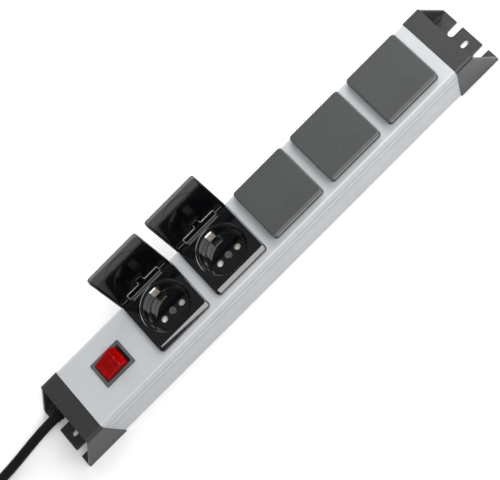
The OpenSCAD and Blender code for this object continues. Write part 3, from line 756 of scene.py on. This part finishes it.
def cap_section(half_w, top, radius=3, steps=8):
    angles = [math.radians(90 * k / steps) for k in range(steps + 1)]
    arc = [(half_w - radius + radius * math.cos(angle), top - radius + radius * math.sin(angle))
           for angle in angles]
    return [(half_w, 0)] + arc + [(-y, z) for y, z in reversed(arc)] + [(-half_w, 0)]


def cap(name, side, node):
    def flip(made):
        if side < 0:
            made.transform(Matrix.Scale(-1, 4, (1, 0, 0)))
            bmesh.ops.reverse_faces(made, faces=made.faces[:])
        return made
    add = [block((CAP_END - 1, -CAP_HALF, 0), (FOOT_END, CAP_HALF, FOOT_T))]
    for s in (-1, 1):
        walls = sorted((s * CAP_HALF, s * (CAP_HALF - SIDE_T)))
        add.append(bar_y([(CAP_END - 1, 0), (FOOT_END, 0), (FOOT_END, FOOT_T),
                          (CAP_END, CAP_H - 3), (CAP_END - 1, CAP_H - 3)], *walls))
        add.append(block((CAP_END - 1, s * RIB_Y - RIB_HALF, 1),
                         (CAP_END + RIB_L, s * RIB_Y + RIB_HALF, RIB_TOP)))
        skirt = sorted((s * (CAP_HALF - SKIRT_T), s * CAP_HALF))
        add.append(bar_y([(HALF_L - SKIRT_L, 0), (HALF_L + 2, 0), (HALF_L + 2, SKIRT_TOP),
                          (HALF_L, SKIRT_TOP)], *skirt))
    cut = [block((HALF_L - 1, -CAP_HALF + BOX_T, FOOT_T),
                 (CAP_END - BOX_T, CAP_HALF - BOX_T, CAP_H - BOX_T))]
    for s in (-1, 1):
        y = FOOT_Y + s * SLOT_Y
        cut.append(rod("z", (SLOT_X, y), SLOT_R, -1, 4))
        cut.append(block((SLOT_X, y - SLOT_R, -1), (FOOT_END + 5, y + SLOT_R, 4)))
        cut.append(rod("x", (s * SCREW_Y, SCREW_Z), SCREW_HOLE_R, CAP_END - 5, CAP_END + 1, 20))
    cut.append(loft([ring(*CLOSED_SLOT, z, (SLOT_X + 0.1, FOOT_Y), 8, 2) for z in (-1, 4)]))
    if side < 0:
        cut.append(rod("x", (CORD_Y, CORD_Z), CORD_HOLE_R, CAP_END - 5, CAP_END + 1, 40))
    box = bar_x(cap_section(CAP_HALF, CAP_H), HALF_L + 0.1, CAP_END)
    made = piece(name, flip(box), [flip(a) for a in add], [flip(c) for c in cut], 0.55, 3)
    return finish_piece(made, "cap_plastic", "housing", node)


cap_far = cap("cap_far", 1, "end_cap_far")
cap_near = cap("cap_near", -1, "end_cap_cable")
print("cap faces", len(cap_far.data.polygons), len(cap_near.data.polygons))

# %% [markdown]
# ## The socket inserts
# Each insert is a deep cup hung in a square face plate. A polished tool gives it a mirror-like
# black, and the plate's front edge is a gentle slope that draws one wide highlight. The whole cup
# is a single stack of loops: up the outside, over the edge, across the plate to the circle, down
# the recess and across its floor. Holes, finger slots and ribs come after. One mesh serves all.

# %% The socket insert
PLATE_W, PLATE_D, PLATE_TOP = 53.4, 52.4, 43.4
RECESS_R, FLOOR_Z = 19.6, 26
HINGE_Y, HINGE_Z = 24.2, 45.2
BARREL_R, PIN_BORE_R = 1.4, 0.65
PLATE_CORNER, PLATE_FOOT = 3, 38.7
NECK = (46.4, 45, PLATE_CORNER)
CUP_R, CUP_BOTTOM, NECK_BOTTOM = 20.9, 23.6, 33
PIN_X, PIN_HOLE_R, CENTRE_HOLE_R = 9.5, 2.75, 1.7
KNUCKLE_HALF = 15.9
plate = ring(PLATE_W, PLATE_D, PLATE_CORNER, 0)


def disc(radius, z):
    return rounded(plate, radius, z)


stack = [disc(CUP_R, CUP_BOTTOM), disc(CUP_R, NECK_BOTTOM), ring(*NECK, NECK_BOTTOM),
         ring(*NECK, PLATE_FOOT), ring(PLATE_W, PLATE_D, PLATE_CORNER, PLATE_FOOT)]
# The front edge slopes gently, so that a finger gets under the lid. Each pair is a depth under the
# plate's top and the slope's inset there; the other three edges are plain rounds.
FRONT_SLOPE = [(3.2, 0), (2.5, 0.05), (1.8, 0.45), (1.2, 1.6), (0.7, 2.55), (0.3, 3.3),
               (0.08, 3.75), (0, 4.1)]
EDGE = 1.2
for drop, front in FRONT_SLOPE:
    inset = EDGE - math.sqrt(EDGE ** 2 - max(EDGE - drop, 0) ** 2)
    stack.append(ring(PLATE_W - 2 * inset, PLATE_D - inset - front, PLATE_CORNER - inset,
                      PLATE_TOP - drop, (0, (front - inset) / 2)))
RIM = ((22.0, 0), (21.6, 0.06), (21.2, 0.3), (20.6, 1.0), (20.0, 1.6), (19.75, 2.2),
       (RECESS_R, 3.0))
stack += [disc(radius, PLATE_TOP - drop) for radius, drop in RIM]
stack += [disc(RECESS_R, FLOOR_Z + 1.2), disc(RECESS_R - 0.35, FLOOR_Z + 0.35),
          disc(RECESS_R - 1.2, FLOOR_Z), disc(16.4, FLOOR_Z), disc(16.1, FLOOR_Z + 0.25),
          disc(15.4, FLOOR_Z + 0.25), disc(15.1, FLOOR_Z)]
print("loops in the insert's skin", len(stack))

# %% The insert's knuckle, ribs, hooks and holes
knuckle = [block((-KNUCKLE_HALF, HINGE_Y - 1.3, 42), (KNUCKLE_HALF, HINGE_Y + 0.95, HINGE_Z))]
ribs = [block((s * 18.9 - 1.2, -2.4, FLOOR_Z - 0.5), (s * 18.9 + 1.2, 2.4, 41.2)) for s in (-1, 1)]
hooks = [block((sx * 23.5 - 0.8, y - 3, 34.4), (sx * 23.5 + 0.8, y + 3, 36.6))
         for sx in (-1, 1) for y in (-12, 12)]
holes = [rod("z", (s * PIN_X, 0), PIN_HOLE_R, 20, 30) for s in (-1, 1)]
holes.append(rod("z", (0, 0), CENTRE_HOLE_R, 20, 30, 24))
holes.append(rod("x", (HINGE_Y, HINGE_Z), PIN_BORE_R, -20, 20, 20))
slots = [block((-3.9, s * 19.1 - 3.6, 27.2), (3.9, s * 19.1 + 3.6, 39.8)) for s in (-1, 1)]
insert = piece("socket_insert", loft(stack), knuckle + ribs + hooks, holes + slots, 0.3, 2, 40)
print("insert faces", len(insert.data.polygons))

# %% [markdown]
# ## The earth clips
# The earth contact is a strip of sprung metal that reaches up both sides of the cup, folds over
# its edge and comes down inside as two bowed fingers, which press on the plug's earth strips. We
# bend a flat strip: a smooth centre line with an equal thickness to each side, drawn out along X.

# %% The earth clip
def smooth_line(points, steps=6):
    """Points on a smooth curve through the given ones."""
    padded_points = [points[0]] + points + [points[-1]]
    out = []
    for a, b, c, d in zip(padded_points, padded_points[1:], padded_points[2:], padded_points[3:]):
        for k in range(steps):
            t = k / steps
            out.append(tuple(0.5 * (2 * q + (r - p) * t + (2 * p - 5 * q + 4 * r - s) * t * t
                                    + (3 * q - p - 3 * r + s) * t ** 3)
                             for p, q, r, s in zip(a, b, c, d)))
    return out + [points[-1]]


def strip(line_points, thick):
    """The outline of a strip of even thickness along a centre line."""
    left, right = [], []
    for k, (y, z) in enumerate(line_points):
        before, after = line_points[max(k - 1, 0)], line_points[min(k + 1, len(line_points) - 1)]
        way = Vector((after[0] - before[0], after[1] - before[1])).normalized()
        left.append((y - way.y * thick / 2, z + way.x * thick / 2))
        right.append((y + way.y * thick / 2, z - way.x * thick / 2))
    return left + list(reversed(right))


CLIP_HALF, CLIP_T = 3.2, 0.72
POST_R, POST_TIP_R, THREAD_R = 3, 2.4, 1.55
finger = smooth_line([(21.55, 6.8), (21.55, 24), (21.55, 36.5), (21.2, 38.4), (20.2, 39.0),
                      (19.0, 38.5), (18.2, 37.0), (17.2, 34.6), (17.0, 33.2), (17.6, 31),
                      (18.8, 28.4)])
arm = strip(finger, CLIP_T)
clip_parts = [bar_x([(-y, z) for y, z in arm], -CLIP_HALF, CLIP_HALF),
              block((-CLIP_HALF, -21.9, 6.4), (CLIP_HALF, 21.9, 7.2)),
              rod("z", (0, 0), POST_R, 6.8, 20.8, 28),
              rod("z", (0, 0), POST_TIP_R, 20.7, 23.4, 28)]
thread = rod("z", (0, 0), THREAD_R, 9, 30, 20)
clip = piece("earth_clip", bar_x(arm, -CLIP_HALF, CLIP_HALF), clip_parts, [thread], 0.12, 2, 50)
print("clip faces", len(clip.data.polygons))

# %% [markdown]
# ## The lids
# A lid is a shallow tray. Its outside is grained and its inside is polished, so the mesh carries
# two finishes, told apart by which faces lie inside the tray. Its rear edge is cut away in
# the middle for the insert's knuckle, and two barrels hold the hinge pin. Small heels on the
# barrels meet the plate and stop the lid at 104 degrees.

# %% The lid
LID_W, LID_FRONT, LID_TOP, LID_BOTTOM = 53, -26.4, 47.8, 43.7
LID_OPEN = 104
LID_BACK = HINGE_Y + 1
lid_d = LID_BACK - LID_FRONT
lid_c = (0, (LID_BACK + LID_FRONT) / 2)
tray_c = (0, -2.3)
TRAY_W, TRAY_D, TRAY_CORNER = 50.4, 45.6, 2
LID_SKIN, LID_CORNER = 1.9, 3
RING_DROP = 0.25
RING_RADII = (19.5, 19.6, 19.9, 20.0)


def tray(inset, z):
    return ring(TRAY_W - 2 * inset, TRAY_D - 2 * inset, max(TRAY_CORNER - inset, 0.5), z, tray_c)


ceiling = LID_TOP - LID_SKIN
ring_heights = (ceiling, ceiling - RING_DROP, ceiling - RING_DROP, ceiling)
lid_stack = [rounded(tray(0, 0), radius, z, tray_c) for radius, z in zip(RING_RADII, ring_heights)]
lid_stack += [tray(0.8, ceiling),
             tray(0.25, ceiling - 0.25), tray(0, ceiling - 0.8), tray(0, LID_BOTTOM + 0.25),
             tray(-0.15, LID_BOTTOM + 0.05), tray(-0.3, LID_BOTTOM),
             ring(LID_W - 0.5, lid_d - 0.5, 2.8, LID_BOTTOM, lid_c),
             ring(LID_W - 0.1, lid_d - 0.1, LID_CORNER, LID_BOTTOM + 0.1, lid_c),
             ring(LID_W, lid_d, LID_CORNER, LID_BOTTOM + 0.35, lid_c)]
lid_stack += soft_edge(LID_W, lid_d, LID_CORNER, LID_TOP, 1.0, lid_c)
print("loops in the lid's skin", len(lid_stack))

# %% The lid's barrels, heels, bridge and window
BARREL_START, BARREL_END = 17.4, 24.3
HEEL_INSET, HEEL_L, HEEL_HALF = 0.4, 1.65, 0.45
WINDOW_HALF, WINDOW_FRONT, WINDOW_TOP = 17.1, 7, 46.8
barrels = []
heel_turn = Matrix.Rotation(math.radians(LID_OPEN - 90), 4, "X")
for s in (-1, 1):
    x0, x1 = sorted((s * BARREL_START, s * BARREL_END))
    barrels.append(rod("x", (HINGE_Y, HINGE_Z), BARREL_R, x0, x1, 28))
    heel = block((x0 + HEEL_INSET, 0, -HEEL_HALF), (x1 - HEEL_INSET, HEEL_L, HEEL_HALF))
    heel.transform(Matrix.Translation((0, HINGE_Y, HINGE_Z)) @ heel_turn)
    barrels.append(heel)
hook = bar_y([(-4.6, 46), (-4.6, 44.05), (4.6, 44.05), (4.6, 46), (3.45, 46), (3.45, 44.6),
              (-3.45, 44.6), (-3.45, 46)], 11.7, 13.1)
lid_cuts = [block((-WINDOW_HALF, HINGE_Y - WINDOW_FRONT, 40),
                  (WINDOW_HALF, HINGE_Y + 6, WINDOW_TOP)),
            rod("x", (HINGE_Y, HINGE_Z), PIN_BORE_R, -40, 40, 20)]
rear_cut = [block((-40, HINGE_Y, 40), (40, HINGE_Y + 10, HINGE_Z))]
lid_body = bare(loft(lid_stack), "lid")
boolean(lid_body, rear_cut, "DIFFERENCE")
lid_mesh = bmesh.new()
lid_mesh.from_mesh(lid_body.data)
lid_mesh.transform(Matrix.Scale(1 / MM, 4))
bpy.data.objects.remove(lid_body)
lid = piece("lid_shape", lid_mesh, barrels + [hook], lid_cuts, 0.18, 2, 40)
for polygon in lid.data.polygons:
    spot = polygon.center / MM
    in_tray = spot.z < ceiling + 0.05 and abs(spot.x) < 25.35 and -25.3 < spot.y < 20.7
    in_window = spot.z < WINDOW_TOP + 0.05 and abs(spot.x) < 17.2 and spot.y > 17.1
    polygon.material_index = 1 if in_tray or in_window else 0
print("lid faces", len(lid.data.polygons))

# %% [markdown]
# ## The lids' springs
# A bent wire lies in each lid's inner face and pushes the lid shut. It runs along the hinge, and a
# tongue in its middle is held under a small bridge. We round each corner of its route, as a bending
# machine does, and sweep a small circle along it.

# %% The spring wire
SPRING_Z, WIRE_R, BEND = 45.1, 0.3, 1.1
spring_route = [(-16.6, 23.3), (-16.6, 18), (-2.9, 18), (-2.9, 12.4), (2.9, 12.4), (2.9, 18),
                (16.6, 18), (16.6, 23.3)]


def bent(points, bend, steps=5):
    """The same route with rounded corners."""
    out = [Vector(points[0])]
    for a, b, c in zip(points, points[1:], points[2:]):
        a, b, c = Vector(a), Vector(b), Vector(c)
        start, end = b + (a - b).normalized() * bend, b + (c - b).normalized() * bend
        for k in range(steps + 1):
            t = k / steps
            out.append(start * (1 - t) ** 2 + b * 2 * t * (1 - t) + end * t * t)
    return out + [Vector(points[-1])]


wire_line = bent(spring_route, BEND)
wire_loops = []
for k, spot in enumerate(wire_line):
    way = (wire_line[min(k + 1, len(wire_line) - 1)] - wire_line[max(k - 1, 0)]).normalized()
    wire_loops.append([(spot.x - way.y * a, spot.y + way.x * a, SPRING_Z + b)
                       for a, b, _ in circle(WIRE_R, 0, 10)])
spring = piece("spring_wire", loft(wire_loops))
print("spring faces", len(spring.data.polygons))

# %% Five inserts, clips, lids and springs
OPEN_LIDS = (1, 2)
for number, x in enumerate(SOCKET_X, 1):
    place = Vector((x, SOCKET_Y, 0)) * MM
    shapes = ((insert, "insert", "socket_plastic", "housing", "frame", ()),
              (clip, "clip", "nickel", "housing", "earth_clip", ()),
              (lid, "lid", "lid_plastic", f"lid_{number}", "lid", (lid_inside,)),
              (spring, "spring", "zinc_steel", f"lid_{number}", "lid_spring", ()))
    for shape, word, slot, body, node, extra in shapes:
        thing = bpy.data.objects.new(f"{word}_{number}", shape.data.copy())
        bpy.context.scene.collection.objects.link(thing)
        thing.matrix_world = Matrix.Translation(place)
        if word in ("lid", "spring") and number in OPEN_LIDS:
            axis = Matrix.Translation(Vector((0, HINGE_Y, HINGE_Z)) * MM)
            swing = Matrix.Rotation(math.radians(-LID_OPEN), 4, "X")
            thing.matrix_world = Matrix.Translation(place) @ axis @ swing @ axis.inverted()
        kept = [polygon.material_index for polygon in thing.data.polygons]
        finish_piece(thing, slot, body, f"socket_{number}_{node}", extra=extra)
        thing.data.polygons.foreach_set("material_index", kept)
for shape in (insert, clip, lid, spring):
    bpy.data.objects.remove(shape)
print("sockets placed:", len(SOCKET_X))

# %% [markdown]
# ## The switch
# The bezel is a grained frame that snaps into the profile, lofted from a stack of rounded loops.
# The rocker is a clear red block that pivots in it: its top is flat, its ends slope away, and now
# its cord end is pressed in. It comes from an outline in the plane it tilts in, drawn out across
# the strip. Every edge of both is softened.

# %% The switch's bezel and body
BEZEL_TOP = 40.2
# length, width, corner radius and height of each loop, from the body's foot over into the well
BEZEL_LOOPS = [(27, 21.4, 0.5, 18), (27, 21.4, 0.5, 38.65), (30.4, 24.4, 0.8, 38.65),
               (30.4, 24.4, 0.8, 39.5), (30.0, 24.0, 0.7, 39.95), (29.2, 23.2, 0.5, BEZEL_TOP),
               (26.0, 19.2, 0.5, BEZEL_TOP), (24.8, 18.0, 0.4, 39.4), (24.8, 18.0, 0.4, 36.6),
               (25.0, 18.4, 0.4, 36.5), (25.0, 18.4, 0.4, 19.5)]
bezel = piece("switch_bezel", loft([ring(*loop, SWITCH, 4, 3) for loop in BEZEL_LOOPS]),
              edge=0.1, steps=1)
finish_piece(bezel, "bezel_plastic", "housing", "switch_housing")
print("bezel faces", len(bezel.data.polygons))

# %% The rocker
ROCKER_PIVOT = Vector((*SWITCH, 34.6))
ROCKER_LEAN = 20
ROCKER_HALF = 8.7
side_view = [(-8.7, 10), (-4, 9.86), (0, 9.8), (4, 9.86), (8.7, 10), (11.4, 4.5), (10.8, 0),
             (7, -5), (-7, -5), (-10.8, 0), (-11.4, 4.5)]
rocker_made = bar_y(side_view, -ROCKER_HALF, ROCKER_HALF)
inner_view = [(-7.4, 8.5), (7.4, 8.5), (9.8, 3.9), (9, -6), (-9, -6), (-9.8, 3.9)]
pins = [rod("y", (0, 0), 1.5, *sorted((s * 8, s * 9.75)), 24) for s in (-1, 1)]
rocker = piece("rocker", rocker_made, pins, [bar_y(inner_view, -7.3, 7.3)], 0.6, 3, 20)
lean = Matrix.Translation(ROCKER_PIVOT * MM) @ Matrix.Rotation(math.radians(-ROCKER_LEAN), 4, "Y")
rocker.matrix_world = lean
finish_piece(rocker, "red_rocker", "rocker", "switch_rocker")
print("rocker faces", len(rocker.data.polygons))

# %% [markdown]
# ## The studio
# The strip lies on a pale floor. One broad soft light in front makes the wide highlight on the
# sockets' front edges. A second from the far end lifts the far cap and draws the rocker's ridge,
# two weaker ones open up the shadows, and the sky is kept dim so that the gloss stays black.

# %% Floor, sky and lights
floor_made = bmesh.new()
FLOOR_HALF = 3000
for x, y in ((-1, -1), (1, -1), (1, 1), (-1, 1)):
    floor_made.verts.new((x * FLOOR_HALF, y * FLOOR_HALF, -0.05))
floor_made.faces.new(floor_made.verts[:])
floor = bare(floor_made, "floor")
paper = Finish("paper")
paper.set(Base_Color=paper.mix(paper.grain(4), (0.95, 0.95, 0.95, 1), (0.97, 0.97, 0.97, 1)),
          Roughness=0.9 + 0.05 * paper.grain(2))
floor.data.materials.append(paper.material)

world = bpy.data.worlds.new("sky")
world.use_nodes = True
world.node_tree.nodes["Background"].inputs["Color"].default_value = (1, 1, 1, 1)
world.node_tree.nodes["Background"].inputs["Strength"].default_value = 0.15
bpy.context.scene.world = world
bpy.context.scene.view_settings.view_transform = "Standard"


def soft_light(name, place, aim, width, height, power):
    data = bpy.data.lights.new(name, "AREA")
    data.shape, data.size, data.size_y, data.energy = "RECTANGLE", width, height, power
    light = bpy.data.objects.new(name, data)
    way = (Vector(aim) - Vector(place)).normalized()
    turn = way.to_track_quat("-Z", "Y").to_matrix().to_4x4()
    light.matrix_world = Matrix.Translation(place) @ turn
    bpy.context.scene.collection.objects.link(light)


soft_light("front", (0.4, -0.73, 1.43), (0.15, 0, 0), 1.5, 1.15, 27)
soft_light("far_end", (1.0, 0.4, 0.9), (0.2, 0, 0), 1.0, 1.0, 16)
soft_light("near_end", (-1.5, 0.1, 1.1), (0, 0, 0), 1.2, 1.2, 2)
soft_light("back", (0.0, 1.7, 0.8), (0, 0, 0), 2.2, 0.9, 12)
print("lights placed")
